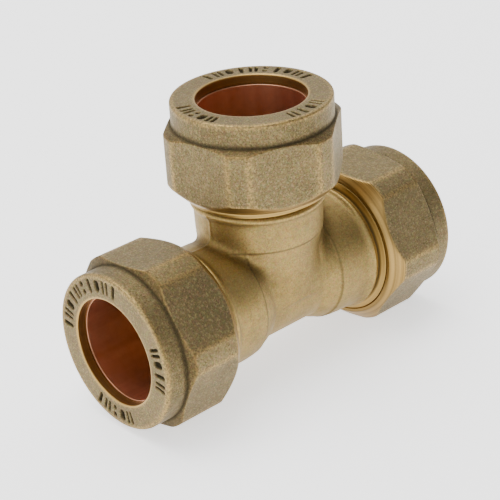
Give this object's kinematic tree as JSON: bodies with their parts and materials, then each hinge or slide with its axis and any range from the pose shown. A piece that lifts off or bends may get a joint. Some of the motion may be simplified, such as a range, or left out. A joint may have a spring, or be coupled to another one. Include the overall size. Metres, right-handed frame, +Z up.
{
  "type": "compression tee fitting",
  "caption": "Equal brass compression tee for copper tube, with hexagon nuts and copper olives on every port.",
  "frame": {"origin": "centre of the bounding box in plan, level with the lowest edges of the two run nuts", "axes": "+Z up along the branch, X along the run"},
  "size_m": [0.0552, 0.0252, 0.0403],
  "materials": {
    "forged_brass": "satin",
    "blasted_brass": "matte",
    "copper": "polished"
  },
  "bodies": {
    "tee": {"tee_body": "forged_brass"},
    "left_olive": {"run_olive_left": "copper"},
    "right_olive": {"run_olive_right": "copper"},
    "top_olive": {"branch_olive": "copper"},
    "left_nut": {"run_nut_left": "blasted_brass"},
    "right_nut": {"run_nut_right": "blasted_brass"},
    "top_nut": {"branch_nut": "blasted_brass"}
  },
  "joints": [
    {"name": "left_olive_slide", "type": "slide", "parent": "tee", "child": "left_olive", "axis": [-1, 0, 0], "range_m": [0, 0.00635]},
    {"name": "right_olive_slide", "type": "slide", "parent": "tee", "child": "right_olive", "axis": [1, 0, 0], "range_m": [0, 0.00635]},
    {"name": "top_olive_slide", "type": "slide", "parent": "tee", "child": "top_olive", "axis": [0, 0, 1], "range_m": [0, 0.00635]},
    {"name": "left_nut_turn", "type": "hinge", "parent": "left_olive", "child": "left_nut", "pos_m": [-0.0276, 0, 0.01202], "axis": [-1, 0, 0], "range_deg": [0, 1260]},
    {"name": "right_nut_turn", "type": "hinge", "parent": "right_olive", "child": "right_nut", "pos_m": [0.0276, 0, 0.01202], "axis": [1, 0, 0], "range_deg": [0, 1260]},
    {"name": "top_nut_turn", "type": "hinge", "parent": "top_olive", "child": "top_nut", "pos_m": [0, 0, 0.04032], "axis": [0, 0, 1], "range_deg": [0, 1260]}
  ],
  "couplings": [
    {"joint": "left_nut_turn", "follows": "left_olive_slide", "rad_per_m": 3463.8},
    {"joint": "right_nut_turn", "follows": "right_olive_slide", "rad_per_m": 3463.8},
    {"joint": "top_nut_turn", "follows": "top_olive_slide", "rad_per_m": 3463.8}
  ]
}
